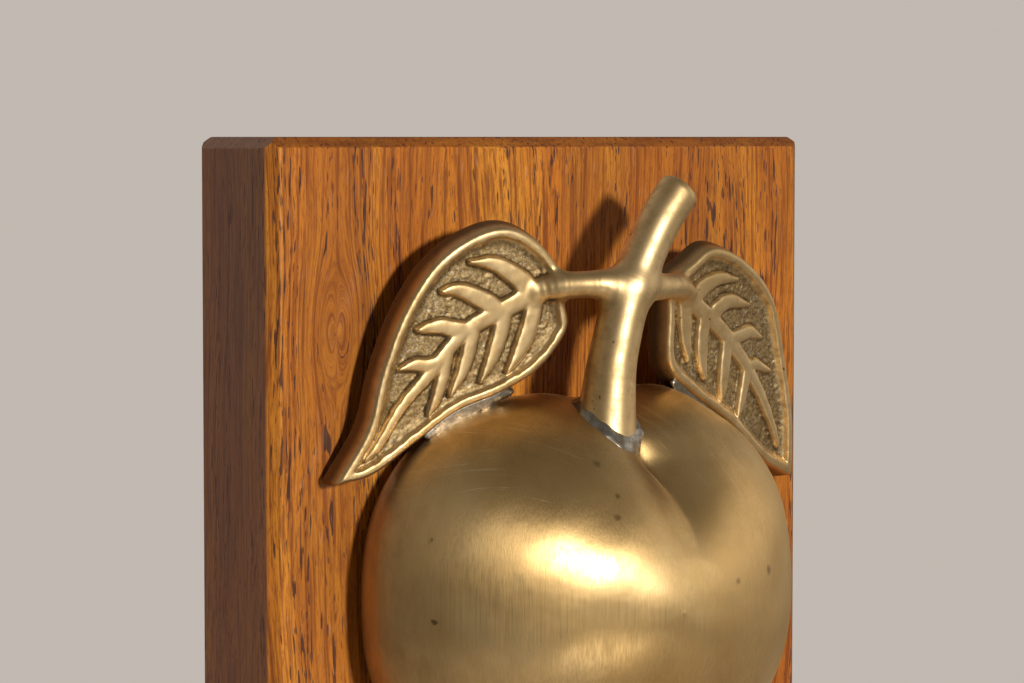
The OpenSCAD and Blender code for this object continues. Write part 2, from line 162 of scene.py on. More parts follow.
def lattice(lo, hi, h):
    ax = [np.arange(a, b + h, h, dtype=np.float32) for a, b in zip(lo, hi)]
    return np.meshgrid(*ax, indexing="ij")


def attr(ob, name, values):
    a = ob.data.attributes.new(name, "FLOAT", "POINT")
    a.data.foreach_set("value", np.asarray(values, np.float32))


# ---------------------------------------------------------------- fruit surface
RX, RZ, RD = 29.8, 25.0, 20.8     # half width, height above the middle, front depth
RZ_LOW = 25.0                     # height below the middle
EX, EX_LOW, EP = 2.58, 2.3, 1.8   # exponents of the outline, its lower half and the profile
FD = 6.3                          # the widest section, in front of the board
FC = np.array([0.0, YF - FD, AX + 0.35])
RIM = 0.4


def cleft(x, h, f):
    """How far the skin sinks: the crease from the stem, bending right on its way down."""
    t = x - 0.7 - 3.1 * sstep((f - 0.4) / 0.55)
    wide = np.where(t < 0, 4.6, 6.6)
    tight = np.where(t < 0, 1.35, 1.9)
    # shallower where the stem stands in it
    deep = sstep((f - 0.45) / 0.2)
    prof = 0.52 * (0.1 + 0.9 * deep) * np.exp(-np.abs(t / tight) ** 1.35) + 0.48 * (0.45 + 0.55 * deep) * np.exp(-((t / wide) ** 2))
    along = np.where(f < 0.45, 1.0, np.clip(1 - (np.clip(f - 0.45, 0, 1) / 0.50) ** 1.5, 0, 1))
    g = 4.3 * prof * np.sqrt(np.clip(h, 0, 1)) * along
    # right lobe a little higher, and a shallow dip that runs on below the crease
    g = g - 1.1 * np.exp(-(((x - 11.5) / 5.5) ** 2)) * np.clip(h, 0, 1) ** 2 * np.clip(1 - f, 0, 1)
    g = g + 0.75 * np.exp(-(((x - 4.0) / 5.5) ** 2)) * sstep((h + 0.25) / 0.7) * sstep((f - 0.45) / 0.35)
    return g


def outline(a, w):
    low = np.sin(a) < 0
    return np.where(low, EX_LOW, EX), np.where(low, RZ_LOW, RZ) - w


def fruit_points(a, dd, w):
    ex, rz = outline(a, w)
    rx, ry = RX - w, RD - w
    k = np.clip(1 - (np.abs(dd) / ry) ** EP, 1e-9, 1) ** (1 / EP)
    ln = (np.abs(np.cos(a)) ** ex + np.abs(np.sin(a)) ** ex) ** (1 / ex)
    x, z = rx * k * np.cos(a) / ln, rz * k * np.sin(a) / ln
    kk = k ** (EP - ex)
    nx = kk * np.sign(x) * np.abs(x / rx) ** (ex - 1) / rx
    nz = kk * np.sign(z) * np.abs(z / rz) ** (ex - 1) / rz
    nd = np.sign(dd) * np.abs(dd / ry) ** (EP - 1) / ry
    nl = np.sqrt(nx * nx + nz * nz + nd * nd) + 1e-12
    g = cleft(x, z / rz, np.clip(dd / ry, 0, 1))
    # the casting isn't perfectly even
    g = g + 0.05 * np.sin(x * 0.31 + 1.3) * np.sin(z * 0.27 + 0.5) + 0.03 * np.sin(x * 0.55 - z * 0.42 + dd * 0.3) + 0.04
    fade = np.clip((dd + FD - RIM) / 4, 0, 1)
    g = g * (0.25 + 0.75 * fade)
    return np.stack([FC[0] + x - g * nx / nl,
                     FC[1] - dd + g * nd / nl * fade,
                     FC[2] + z - g * nz / nl], -1), g


def fruit_field(x, y, z):
    """Approximate signed distance to the fruit's outer surface."""
    qx, qy, qz = (x - FC[0]) / RX, (FC[1] - y) / RD, (z - FC[2]) / RZ
    ro = (np.abs(qx) ** EX + np.abs(qz) ** EX) ** (1 / EX)
    s = (ro ** EP + np.abs(qy) ** EP) ** (1 / EP)
    r1 = np.clip(ro / s, 1e-6, None)
    gx = r1 ** (EP - EX) * np.abs(qx / s) ** (EX - 1) / RX
    gz = r1 ** (EP - EX) * np.abs(qz / s) ** (EX - 1) / RZ
    gy = np.abs(qy / s) ** (EP - 1) / RD
    return (s - 1) / np.sqrt(gx * gx + gy * gy + gz * gz) + cleft(x - FC[0], qz / s, np.clip(qy / s, 0, 1))


def make_peach():
    n, m, mi = 360, 120, 36
    a = np.linspace(0, 2 * np.pi, n, endpoint=False)
    d0 = RIM - FD

    def rows(steps, w):
        ry = RD - w
        s0 = math.asin(d0 / ry)
        t = s0 + (math.pi / 2 - s0) * (np.arange(steps) / steps)
        return ry * np.sin(t)

    rings, gs = [], []
    # outer skin, ring by ring from the rim to the front
    for dd in rows(m, 0):
        p, g = fruit_points(a, np.full(n, dd), 0.0)
        rings.append(p); gs.append(g)
    inner = []
    for dd in rows(mi, 1.5):
        p, g = fruit_points(a, np.full(n, dd), 1.5)
        inner.append(p)
    tip = np.vstack(rings)[-n:].mean(0)
    tip[1] = min(tip[1], np.vstack(rings)[-n:, 1].min()) - 0.01
    pts = np.vstack([np.vstack(rings), np.vstack(inner), [tip], [[FC[0], FC[1] - RD + 1.5, FC[2]]]])
    faces = []
    base = n * m
    for j in range(m - 1):
        for i in range(n):
            k = (i + 1) % n
            faces.append((j * n + i, (j + 1) * n + i, (j + 1) * n + k, j * n + k))
    for j in range(mi - 1):
        for i in range(n):
            k = (i + 1) % n
            faces.append((base + j * n + k, base + (j + 1) * n + k, base + (j + 1) * n + i, base + j * n + i))
    po, pi = len(pts) - 2, len(pts) - 1
    for i in range(n):
        k = (i + 1) % n
        faces.append(((m - 1) * n + i, po, (m - 1) * n + k))
        faces.append((base + (mi - 1) * n + k, pi, base + (mi - 1) * n + i))
        faces.append((k, base + k, base + i, i))
    ob = new_mesh("peach_body", pts, faces)
    me = ob.data
    # flat projection so that the brushing runs up and down
    uv = me.uv_layers.new(name="brush")
    li = np.zeros(len(me.loops), np.int32)
    me.loops.foreach_get("vertex_index", li)
    uv.data.foreach_set("uv", (np.stack([pts[li, 0], pts[li, 2]], -1) / 60.0).ravel().astype(np.float32))
    x, y, z = pts[:, 0], pts[:, 1], pts[:, 2]
    dep = YF - y
    # how dark a point is painted: patina in the cleft and round the stem, painted shade along the rim against the
    # board and down the left side, and darker over the upper left
    q = np.clip((z - FC[2]) / RZ, 0, 1)
    # painted shade along the rim where the fruit meets the board
    patina_shade = 0.95 * np.exp(-np.clip(dep - 0.4, 0, 99) / 5.0)
    # painted shade down the left side
    patina_shade = np.maximum(patina_shade, 0.55 * sstep((-x - 17) / 12) * sstep((24 - dep) / 14))
    patina_shade = np.maximum(patina_shade, 0.9 * np.exp(-((x / 2.2) ** 2)) * sstep((q - 0.25) / 0.4) * sstep((30 - dep) / 6))
    patina_shade = np.maximum(patina_shade, 0.6 * np.exp(-((x - 0.8) ** 2 + (z - (AX + 22)) ** 2 + (dep - 12) ** 2) / 60.0))
    patina_shade = np.maximum(patina_shade, 0.30 * sstep((z - (AX + 9)) / 13) * sstep((6 - x) / 16))
    attr(ob, "patina_and_shade", np.clip(patina_shade, 0, 1))
    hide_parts("peach_shell")
    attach(ob, "handle")
    return ob


# ---------------------------------------------------------------- leaves
LEAF_T, REC = 3.1, 0.9
LEAVES = {
    "left": {
        "p0": (-5.5, YF - 10.5, AX + 39.0), "az": -8.0, "el": 5.4, "flip": 1,
        "up": [(0.4, -3), (-0.2, 0.5), (-3.6, 4.4), (-7.9, 6.2), (-12.5, 5.1), (-17.2, 1.8), (-21, -4), (-23.5, -11), (-25, -17.5), (-28.5, -23.6)],
        "dn": [(-28.5, -23.6), (-24, -22.6), (-18.4, -18.8), (-13.3, -15.4), (-7.8, -13.4), (-2.7, -10.6), (0.7, -6.2), (0.4, -3)],
        "ribs": [
            ([(0.6, 0), (-3, -1.2), (-6.8, -3.1), (-9.8, -4.4), (-12.3, -5.7), (-14, -7.2), (-17.2, -11), (-20.5, -14.6), (-23.4, -19.2), (-25, -20.9)],
             [1.1, 1.05, 0.95, 0.85, 0.75, 0.7, 0.6, 0.5, 0.38, 0.12]),
            ([(-4.2, -1.8), (-5.5, -0.1), (-7.5, 1.2), (-9.6, 2.1), (-12.3, 2.25)], [1.25, 1.0, 0.8, 0.6, 0.12]),
            ([(-8.2, -3.9), (-10.2, -2.5), (-12.3, -1.5), (-14.1, -1.0), (-15.9, -1.2)], [1.0, 0.9, 0.75, 0.55, 0.12]),
            ([(-12, -6.0), (-14, -5.7), (-15.9, -5.3), (-17.5, -5.4), (-18.9, -5.7)], [0.8, 0.8, 0.7, 0.5, 0.1]),
            ([(-15.6, -9.5), (-17.4, -9.9), (-19.0, -9.8), (-21.1, -10.3)], [0.6, 0.62, 0.55, 0.1]),
            ([(-3.6, -1.8), (-3.9, -4.5), (-4.6, -6.9), (-5.6, -9.1), (-6.9, -11)], [1.0, 0.9, 0.85, 0.6, 0.1]),
            ([(-7.6, -3.8), (-8.2, -6.8), (-8.9, -9.1), (-10.4, -12)], [0.85, 0.8, 0.65, 0.1]),
            ([(-11.8, -6), (-12.2, -8.4), (-12.9, -10.8), (-14.3, -13.5)], [0.75, 0.75, 0.6, 0.1]),
            ([(-15, -8.9), (-15.5, -11.6), (-16.2, -14), (-17.1, -15.8)], [0.6, 0.6, 0.45, 0.1]),
        ],
    },
    "right": {
        "p0": (9.8, YF - 10.3, AX + 37.9), "az": 8.0, "el": 5.4, "flip": -1,
        "up": [(-1.3, -3.4), (-1.2, 0.0), (-4.9, 2.4), (-8.8, 4.3), (-14.8, 2.3), (-20.1, -2.5), (-23.2, -10.6), (-25.4, -18), (-26.2, -25.4)],
        "dn": [(-26.2, -25.4), (-20.6, -22.9), (-13.7, -17.8), (-6.5, -13.6), (-2.0, -9.8), (-1.3, -3.4)],
        "ribs": [
            ([(-0.6, 0.3), (-2.6, -0.6), (-4.6, -1.9), (-8.8, -4.3), (-12.9, -7.5), (-16.4, -11), (-19.6, -15), (-22, -18.8), (-23.4, -21.5)],
             [1.1, 1.05, 1.0, 0.85, 0.75, 0.65, 0.5, 0.35, 0.12]),
            ([(-5.3, -2.2), (-6.8, -0.9), (-8.4, 0), (-10.4, 0.5), (-13.3, 0.3)], [1.1, 0.95, 0.8, 0.6, 0.12]),
            ([(-9, -4.4), (-10.5, -3.1), (-12.3, -2.4), (-15.8, -3)], [0.9, 0.85, 0.7, 0.12]),
            ([(-13, -7.4), (-14.7, -6.8), (-16.4, -6.5), (-18.5, -7.2)], [0.75, 0.72, 0.6, 0.1]),
            ([(-16.4, -11), (-18, -10.7), (-20.6, -11.6)], [0.55, 0.5, 0.1]),
            ([(-4.2, -1.9), (-4.6, -5.2), (-5, -7.4), (-5.6, -9.6)], [0.9, 0.8, 0.6, 0.1]),
            ([(-7.9, -3.9), (-7.8, -7.7), (-8.2, -10.2), (-8.8, -12)], [0.8, 0.75, 0.55, 0.1]),
            ([(-12.3, -7.2), (-12.2, -11), (-12.1, -13.4), (-12, -15)], [0.75, 0.7, 0.5, 0.1]),
            ([(-16.4, -11.2), (-16, -14), (-15.6, -16), (-15.2, -17.4)], [0.6, 0.55, 0.4, 0.1]),
        ],
    },
}
LH = 0.07
LU0, LV0, LU1, LV1 = -31.5, -28.5, 3.5, 9.0


def leaf_basis(s):
    a, e = math.radians(s["az"]), math.radians(s["el"])
    e1 = np.array([math.cos(a), math.sin(a), 0.0]) * s["flip"]
    e2 = np.array([math.sin(e) * math.sin(a), -math.sin(e) * math.cos(a), math.cos(e)])
    n = np.array([math.cos(e) * math.sin(a), -math.cos(e) * math.cos(a), -math.sin(e)])
    return e1, e2, n


def leaf_lattice(s, seed):
    u, v = lattice((LU0, LV0), (LU1, LV1), LH)
    o = np.vstack([curve(s["up"], 7)[:-1], curve(s["dn"], 7)])
    d = seg_field((u, v), o)
    inside = np.zeros(u.shape, bool)
    for i in range(len(o) - 1):
        (x0, y0), (x1, y1) = o[i], o[i + 1]
        hit = ((y0 > v) != (y1 > v))
        if y1 != y0:
            inside ^= hit & (u < (x1 - x0) * (v - y0) / (y1 - y0) + x0)
    D = np.where(inside, d, -d)
    wob = soft_noise(u.shape, seed + 5, 40) * 0.08
    # a narrow bead, then a cove down to the ground
    rim = -REC * (0.42 * sstep((D + wob - 0.85) / 0.55) + 0.58 * sstep((D + wob - 0.95) / 1.5))
    rim = rim - 0.16 * np.clip((np.abs(D - 0.55) - 0.15) / 0.5, 0, 1) ** 2
    rd = None
    for pts, hw in s["ribs"]:
        c = curve(np.column_stack([pts, np.array(hw) * 1.10 + 0.06]), 5)
        f = seg_field((u, v), c[:, :2], c[:, 2])
        rd = f if rd is None else np.minimum(rd, f)
    rdw = rd + wob * 0.5
    rib = -0.14 - 0.12 * np.exp(np.clip(rdw, -3, 0) / 0.22) - (REC - 0.26) * sstep((rdw + 0.06) / 0.42)
    H = smax(rim, rib, 0.14)
    ground = sstep((-H - 0.50 * REC) / (0.35 * REC))
    grain = np.clip(0.25 + 0.75 * sstep(1 - (np.minimum(rdw, 1.2) - 0.2) / 0.9) + 0.5 * soft_noise(u.shape, seed + 3, 60), 0.1, 1.0)
    sand = (soft_noise(u.shape, seed, 3) * 0.5 + soft_noise(u.shape, seed + 1, 9) * 0.8) * grain
    H = H + ground * (0.075 * np.clip(sand, -1.5, 2.2)) + (1 - ground) * 0.012 * soft_noise(u.shape, seed + 2, 60)
    up = np.roll(soft_noise(u.shape, seed + 4, 50), 3, 0)
    crev = ground * np.maximum(np.exp(-((rdw - 0.36) / 0.17) ** 2), 0.45 * np.exp(-((D - 1.7) / 0.4) ** 2)) * np.clip(0.75 + 0.5 * up, 0, 1)
    return {"H": H.astype(np.float32), "D": D.astype(np.float32), "ground": ground.astype(np.float32),
            "crev": crev.astype(np.float32), "sand": sand.astype(np.float32)}


def sample(a, u, v):
    fu = np.clip((u - LU0) / LH, 0, a.shape[0] - 1.001)
    fv = np.clip((v - LV0) / LH, 0, a.shape[1] - 1.001)
    i, j = fu.astype(np.int32), fv.astype(np.int32)
    fu, fv = fu - i, fv - j
    return (a[i, j] * (1 - fu) * (1 - fv) + a[i + 1, j] * fu * (1 - fv)
            + a[i, j + 1] * (1 - fu) * fv + a[i + 1, j + 1] * fu * fv)


def leaf_local(s, x, y, z):
    e1, e2, n = leaf_basis(s)
    p = s["p0"]
    x, y, z = x - p[0], y - p[1], z - p[2]
    return (x * e1[0] + y * e1[1] + z * e1[2], x * e2[0] + y * e2[1] + z * e2[2], x * n[0] + y * n[1] + z * n[2])


def leaf_field(s, L, x, y, z):
    u, v, w = leaf_local(s, x, y, z)
    # the leaf bows a little, its middle forward of its edges
    w = w + 0.10 * (((u + 13) / 13) ** 2 + ((v + 8) / 15) ** 2)
    d = sample(L["D"], u, v)
    side = -(d + 0.24 * np.clip(-w, -0.3, 4))
    front = w - sample(L["H"], u, v)
    back = -LEAF_T - w
    return smax(smax(front, side, 0.42), back, 0.3)


STEM = [(-1.35, 13.0, 19.6), (-1.15, 13.0, 22.1), (-0.87, 13.0, 24.5), (-0.43, 13.0, 28.1), (0.25, 13.0, 31.1), (1.27, 13.0, 35.0),
        (2.35, 13.0, 37.6), (3.35, 13.0, 39.6), (4.75, 13.0, 42.4), (6.65, 13.0, 45.6), (8.75, 13.0, 48.3), (11.2, 13.0, 51.2)]
STEM_R = [3.9, 3.6, 3.35, 3.05, 2.9, 2.9, 2.95, 2.75, 2.65, 2.62, 2.6, 2.6]
TWIG_L = [(2.0, 13.0, 38.0), (-1.2, 12.7, 38.35), (-3.1, 12.1, 38.4), (-4.6, 11.3, 38.35), (-6.2, 10.2, 38.2), (-8.5, 9.0, 37.7)]
TWIG_L_R = [2.2, 1.85, 1.62, 1.6, 1.7, 1.2]
TWIG_R = [(3.0, 13.0, 38.0), (6.4, 12.4, 37.9), (9.0, 11.6, 37.85), (11.4, 10.6, 37.8), (14.2, 9.2, 37.0)]
TWIG_R_R = [2.1, 1.75, 1.55, 1.5, 1.1]


def to_world(pts):
    return np.array([(x, YF - d, AX + z) for x, d, z in pts])


def stem_field(x, y, z):
    c = curve(np.column_stack([to_world(STEM), STEM_R]), 4)
    f = seg_field((x, y, z), c[:, :3], c[:, 3])
    # the top is cut across and filed round
    tip = np.array([10.3, YF - 13.0, AX + 50.0])
    nrm = np.array([0.66, -0.05, 0.75]); nrm /= np.linalg.norm(nrm)
    cut = (x - tip[0]) * nrm[0] + (y - tip[1]) * nrm[1] + (z - tip[2]) * nrm[2]
    f = smax(f, cut, 1.3)
    for pts, rr in ((TWIG_L, TWIG_L_R), (TWIG_R, TWIG_R_R)):
        c = curve(np.column_stack([to_world(pts), rr]), 3)
        f = smin(f, seg_field((x, y, z), c[:, :3], c[:, 3]), 1.6)
    return f


LATT = {"left": leaf_lattice(LEAVES["left"], 11), "right": leaf_lattice(LEAVES["right"], 47)}


def make_casting():
    h = 0.15
    lo = np.array([-36.6, YF - 17.6, AX + 10.8])
    hi = np.array([39.4, YF - 0.2, AX + 52.8])
    X, Y, Z = lattice(lo, hi, h)
    F = np.full(X.shape, 9.0, np.float32)

    def sub(x0, x1, z0, z1):
        i0, i1 = [int(np.clip((v - lo[0]) / h, 0, X.shape[0])) for v in (x0, x1)]
        k0, k1 = [int(np.clip((v - lo[2]) / h, 0, X.shape[2])) for v in (z0, z1)]
        return (slice(i0, i1), slice(None), slice(k0, k1))

    for side, rng in (("left", (-36.6, -2.5, AX + 12, AX + 48)), ("right", (7.0, 39.4, AX + 10.8, AX + 45))):
        s = sub(*rng)
        F[s] = np.minimum(F[s], leaf_field(LEAVES[side], LATT[side], X[s], Y[s], Z[s]))
    s = sub(-11.5, 17.5, AX + 15, AX + 53)
    F[s] = smin(F[s], stem_field(X[s], Y[s], Z[s]).astype(np.float32), 1.1)
    # the foot of the stem ends in the fruit's skin
    s = sub(-8, 8, AX + 12, AX + 26)
    F[s] = np.maximum(F[s], -(fruit_field(X[s], Y[s], Z[s]) + 0.7))
    ob, pts = grid_mesh("stem_leaf_casting", F, lo, h)
    ground = np.zeros(len(pts)); crev = np.zeros(len(pts)); back = np.zeros(len(pts)); rimm = np.zeros(len(pts))
    for side in ("left", "right"):
        u, v, w = leaf_local(LEAVES[side], pts[:, 0], pts[:, 1], pts[:, 2])
        L = LATT[side]
        on = (sample(L["D"], u, v) > 0.2) & (w > -2.0) & (w < 0.8)
        ground = np.where(on, np.maximum(ground, sample(L["ground"], u, v)), ground)
        crev = np.where(on, np.maximum(crev, sample(L["crev"], u, v)), crev)
        near = sample(L["D"], u, v) > -1.2
        back = np.where(near, np.maximum(back, sstep((-w - 0.5) / 1.6)), back)
    attr(ob, "ground", ground)
    attr(ob, "crev", crev)
    attr(ob, "back", back)
    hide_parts("stem_and_leaves")
    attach(ob, "handle")
    return ob


def make_solder():
    out = []
    # round the foot of the stem: the fillet between stem and fruit
    h = 0.11
    lo = np.array([-8.2, YF - 19.6, AX + 15.6]); hi = np.array([6.2, YF - 7.4, AX + 25.4])
    X, Y, Z = lattice(lo, hi, h)
    fr, st = fruit_field(X, Y, Z), stem_field(X, Y, Z)
    nz = soft_noise(X.shape, 3, 60)
    fil = smin(fr, st, 1.3) - 0.06 - 0.05 * nz
    # it follows the stem's foot closely: within a wavering distance of both
    near = np.maximum(st - (0.72 + 0.18 * nz), fr - (0.80 + 0.2 * soft_noise(X.shape, 21, 60)))
    f = smax(fil, near, 0.4)
    f = np.maximum(f, -(fr + 0.30))
    f = np.maximum(f, -(st + 0.30))
    ob, _ = grid_mesh("solder_at_stem", f, lo, h)
    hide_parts("stem_solder"); out.append(ob)
    # between the leaves and the fruit
    for side, node, path, rad, seed in (
        ("left", "leaf_solder_left", [(-22.3, 6.2, 20.4), (-20.3, 6.6, 21.9), (-17, 7.0, 23.6), (-13.6, 7.1, 24.9), (-10.9, 7.2, 25.6)], [0.7, 1.35, 1.3, 1.15, 0.5], 5),
        ("right", "leaf_solder_right", [(13.2, 8.0, 25.6), (15.5, 7.6, 24.6), (18.5, 7.0, 23.0), (21.6, 6.3, 21.2)], [0.6, 1.25, 1.2, 0.6], 9),
    ):
        w = to_world(path)
        lo = w.min(0) - 2.6; hi = w.max(0) + 2.6
        lo[1] = max(lo[1], YF - 14); hi[1] = min(hi[1], YF - 0.5)
        X, Y, Z = lattice(lo, hi, h)
        fr = fruit_field(X, Y, Z)
        lf = leaf_field(LEAVES[side], LATT[side], X, Y, Z)
        nz = soft_noise(X.shape, seed, 45)
        fil = smin(fr, lf, 2.0) - 0.10 - 0.07 * nz
        cc = curve(np.column_stack([w, rad]), 4)
        tube = seg_field((X, Y, Z), cc[:, :3], cc[:, 3]) - 0.22 * nz
        bead = smin(tube + 0.35, tube + 0.35, 0.1)
        f = smax(smin(fil, bead, 0.5), tube, 0.5)
        u, v, ww = leaf_local(LEAVES[side], X, Y, Z)
        # it stays on the leaf's edge and back, off its face
        f = np.maximum(f, -(lf + 0.30))
        f = smax(f, ww + 0.55, 0.4)
        f = np.maximum(f, -(fr + 0.35))
        ob, _ = grid_mesh("solder_" + side + "_leaf", f, lo, h)
        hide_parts(node); out.append(ob)
    for ob in out:
        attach(ob, "handle")
    return out


# ---------------------------------------------------------------- materials
class Mat:
    """A node material with short calls; P is the object position in mm."""

    def __init__(self, name):
        self.m = bpy.data.materials.new(name)
        self.m.use_nodes = True
        self.t = self.m.node_tree
        self.t.nodes.clear()
        self.out = self.t.nodes.new("ShaderNodeOutputMaterial")
        self.b = self.t.nodes.new("ShaderNodeBsdfPrincipled")
        self.t.links.new(self.b.outputs[0], self.out.inputs[0])
        tc = self.t.nodes.new("ShaderNodeTexCoord")
        self.P = self.vmath("MULTIPLY", tc.outputs["Object"], (1000, 1000, 1000))

    def put(self, sock, val):
        if isinstance(val, bpy.types.NodeSocket):
            self.t.links.new(val, sock)
        elif isinstance(val, (tuple, list)) and len(val) == 3 and sock.type == "RGBA":
            sock.default_value = (*val, 1)
        else:
            sock.default_value = val

    def vmath(self, op, a, b=None, c=None):
        n = self.t.nodes.new("ShaderNodeVectorMath"); n.operation = op
        self.put(n.inputs[0], a)
        if b is not None:
            self.put(n.inputs[3 if op == "SCALE" else 1], b)
        return n.outputs["Value" if op in ("LENGTH", "DOT_PRODUCT", "DISTANCE") else "Vector"]

    def math(self, op, a, b=None, c=None, clamp=False):
        n = self.t.nodes.new("ShaderNodeMath"); n.operation = op; n.use_clamp = clamp
        for i, v in enumerate((a, b, c)):
            if v is not None:
                self.put(n.inputs[i], v)
        return n.outputs[0]

    def noise(self, vec, scale=1.0, detail=3.0, rough=0.55, dist=0.0, color=False):
        n = self.t.nodes.new("ShaderNodeTexNoise")
        self.put(n.inputs["Vector"], vec)
        n.inputs["Scale"].default_value = scale
        n.inputs["Detail"].default_value = detail
        n.inputs["Roughness"].default_value = rough
        n.inputs["Distortion"].default_value = dist
        return n.outputs["Color" if color else "Fac"]

    def voro(self, vec, scale=1.0, feature="F1", out="Distance"):
        n = self.t.nodes.new("ShaderNodeTexVoronoi"); n.feature = feature
        self.put(n.inputs["Vector"], vec)
        n.inputs["Scale"].default_value = scale
        return n.outputs[out]

    def ramp(self, fac, a, b, lo=0.0, hi=1.0, smooth=True):
        n = self.t.nodes.new("ShaderNodeMapRange")
        n.interpolation_type = "SMOOTHSTEP" if smooth else "LINEAR"
        self.put(n.inputs["Value"], fac)
        n.inputs["From Min"].default_value = a
        n.inputs["From Max"].default_value = b
        n.inputs["To Min"].default_value = lo
        n.inputs["To Max"].default_value = hi
        return n.outputs["Result"]

    def mix(self, fac, a, b, kind="MIX"):
        n = self.t.nodes.new("ShaderNodeMix"); n.data_type = "RGBA"; n.blend_type = kind
        self.put(n.inputs[0], fac)
        self.put(n.inputs[6], a)
        self.put(n.inputs[7], b)
        return n.outputs[2]

    def attr(self, name):
        n = self.t.nodes.new("ShaderNodeAttribute"); n.attribute_name = name
        return n.outputs["Fac"]

    def scale(self, sx, sy, sz, vec=None):
        return self.vmath("MULTIPLY", vec if vec is not None else self.P, (sx, sy, sz))

    def bump(self, height, dist_mm, strength=1.0, normal=None):
        n = self.t.nodes.new("ShaderNodeBump")
        n.inputs["Strength"].default_value = strength
        n.inputs["Distance"].default_value = dist_mm * MM
        self.put(n.inputs["Height"], height)
        if normal is not None:
            self.put(n.inputs["Normal"], normal)
        return n.outputs[0]

    def set(self, **kw):
        for k, v in kw.items():
            self.put(self.b.inputs[k.replace("_", " ")], v)
        return self


def wood(name, light, mid, dark, pore, coat, rough, seed, knot=None):
    m = Mat(name)
    P = m.vmath("ADD", m.P, (seed * 37.0, seed * 11.0, seed * 53.0))
    if knot is not None:
        # the grain bends round a small swirl
        rel = m.vmath("SUBTRACT", m.P, knot)
        r = m.vmath("LENGTH", m.vmath("MULTIPLY", rel, (1.0, 0.35, 0.55)))
        push = m.ramp(r, 0.0, 9.0, 2.6, 0.0)
        side = m.vmath("NORMALIZE", m.vmath("MULTIPLY", rel, (1, 0, 0.25)))
        P = m.vmath("SUBTRACT", P, m.vmath("MULTIPLY", m.vmath("SCALE", side, push), (1, 0, 0)))
    # slow waver of the fibres
    wob = m.noise(m.scale(0.045, 0.045, 0.013, P), 1.0, 2.0, 0.5, color=True)
    wob = m.vmath("MULTIPLY", m.vmath("SUBTRACT", wob, (0.5, 0.5, 0.5)), (9.0, 9.0, 0.0))
    W = m.vmath("ADD", P, wob)
    bands = m.noise(m.scale(0.16, 0.16, 0.010, W), 1.0, 3.0, 0.6)
    fine = m.noise(m.scale(0.9, 0.9, 0.030, W), 1.0, 4.0, 0.65)
    fibre = m.noise(m.scale(5.5, 5.5, 0.45, W), 1.0, 3.0, 0.75)
    streak = m.noise(m.scale(2.2, 2.2, 0.035, W), 1.0, 3.0, 0.65)
    mott = m.noise(m.scale(0.10, 0.10, 0.06, P), 1.0, 3.0, 0.55)
    col = m.mix(m.ramp(bands, 0.33, 0.68), mid, light)
    broad = m.noise(m.scale(0.07, 0.07, 0.004, W), 1.0, 2.0, 0.5)
    col = m.mix(m.ramp(broad, 0.50, 0.66, 0.0, 0.45), col, dark)
    col = m.mix(m.ramp(fine, 0.42, 0.74, 0.0, 0.66), col, dark)
    col = m.mix(m.ramp(mott, 0.35, 0.7, 0.0, 0.35), col, mid)
    col = m.mix(m.ramp(streak, 0.46, 0.64, 0.0, 0.80), col, dark)
    col = m.mix(m.ramp(fibre, 0.46, 0.66, 0.0, 0.62), col, dark)
    # open pores: dark strokes along the grain, more of them in the dark bands
    p1 = m.noise(m.scale(2.4, 2.4, 0.23, W), 1.0, 1.0, 0.4)
    p2 = m.noise(m.scale(3.6, 3.6, 0.42, m.vmath("ADD", W, (17, 5, 9))), 1.0, 1.0, 0.4)
    chain = m.ramp(m.noise(m.scale(0.50, 0.50, 0.006, W), 1.0, 2.0, 0.5), 0.50, 0.60, 0.0, 0.115)
    k1 = m.ramp(m.math("ADD", p1, chain), 0.705, 0.745, 0, 0.85)
    k2 = m.ramp(m.math("ADD", p2, chain), 0.725, 0.765, 0, 0.7)
    pores = m.math("MAXIMUM", k1, k2)
    col = m.mix(pores, col, pore)
    # painted highlight: a few pores get pale specks that stand in for glints on the varnish
    painted_glint = m.ramp(m.noise(m.scale(3.0, 3.0, 0.35, m.vmath("ADD", W, (3, 41, 2))), 1.0, 0.5, 0.4), 0.735, 0.76)
    col = m.mix(m.math("MULTIPLY", painted_glint, 0.10), col, (0.75, 0.55, 0.45))
    # end grain, seen on the two short ends: darker, with dots in place of strokes
    geo = m.t.nodes.new("ShaderNodeNewGeometry")
    nz = m.math("ABSOLUTE", m.vmath("DOT_PRODUCT", geo.outputs["Normal"], (0, 0, 1)))
    end = m.ramp(nz, 0.45, 0.85)
    # painted shade and sheen: faces turned sideways, neither front nor back, are mixed toward a dull brown
    ny = m.math("ABSOLUTE", m.vmath("DOT_PRODUCT", geo.outputs["Normal"], (0, 1, 0)))
    col = m.mix(m.ramp(ny, 0.40, 0.80, 0.34, 0.0), col, (0.30, 0.145, 0.10))
    dots = m.ramp(m.noise(m.scale(2.2, 2.2, 2.2), 1.0, 1.0, 0.4), 0.63, 0.68)
    rings = m.ramp(m.noise(m.scale(0.12, 0.75, 0.12), 1.0, 3.0, 0.6), 0.35, 0.7)
    ecol = m.mix(rings, tuple(c * 0.55 for c in mid), tuple(c * 0.62 for c in dark))
    ecol = m.mix(dots, ecol, pore)
    col = m.mix(end, col, ecol)
    h = m.math("SUBTRACT", m.math("MULTIPLY", fibre, 0.25), m.math("MULTIPLY", pores, m.ramp(end, 0, 1, 1.0, 0.3)))
    under = m.noise(m.scale(0.35, 0.35, 0.05), 1.0, 2.0, 0.5)
    nrm = m.bump(h, 0.05, 0.45)
    m.set(Base_Color=col, Roughness=m.math("ADD", m.ramp(fibre, 0.2, 0.8, rough - 0.06, rough + 0.08), m.math("MULTIPLY", pores, 0.2)),
          Normal=nrm, Coat_Weight=coat, Coat_Roughness=0.16, Specular_IOR_Level=0.25)
    m.put(m.b.inputs["Coat Normal"], m.bump(m.math("SUBTRACT", under, m.math("MULTIPLY", pores, 0.35)), 0.05, 0.35))
    return m.m


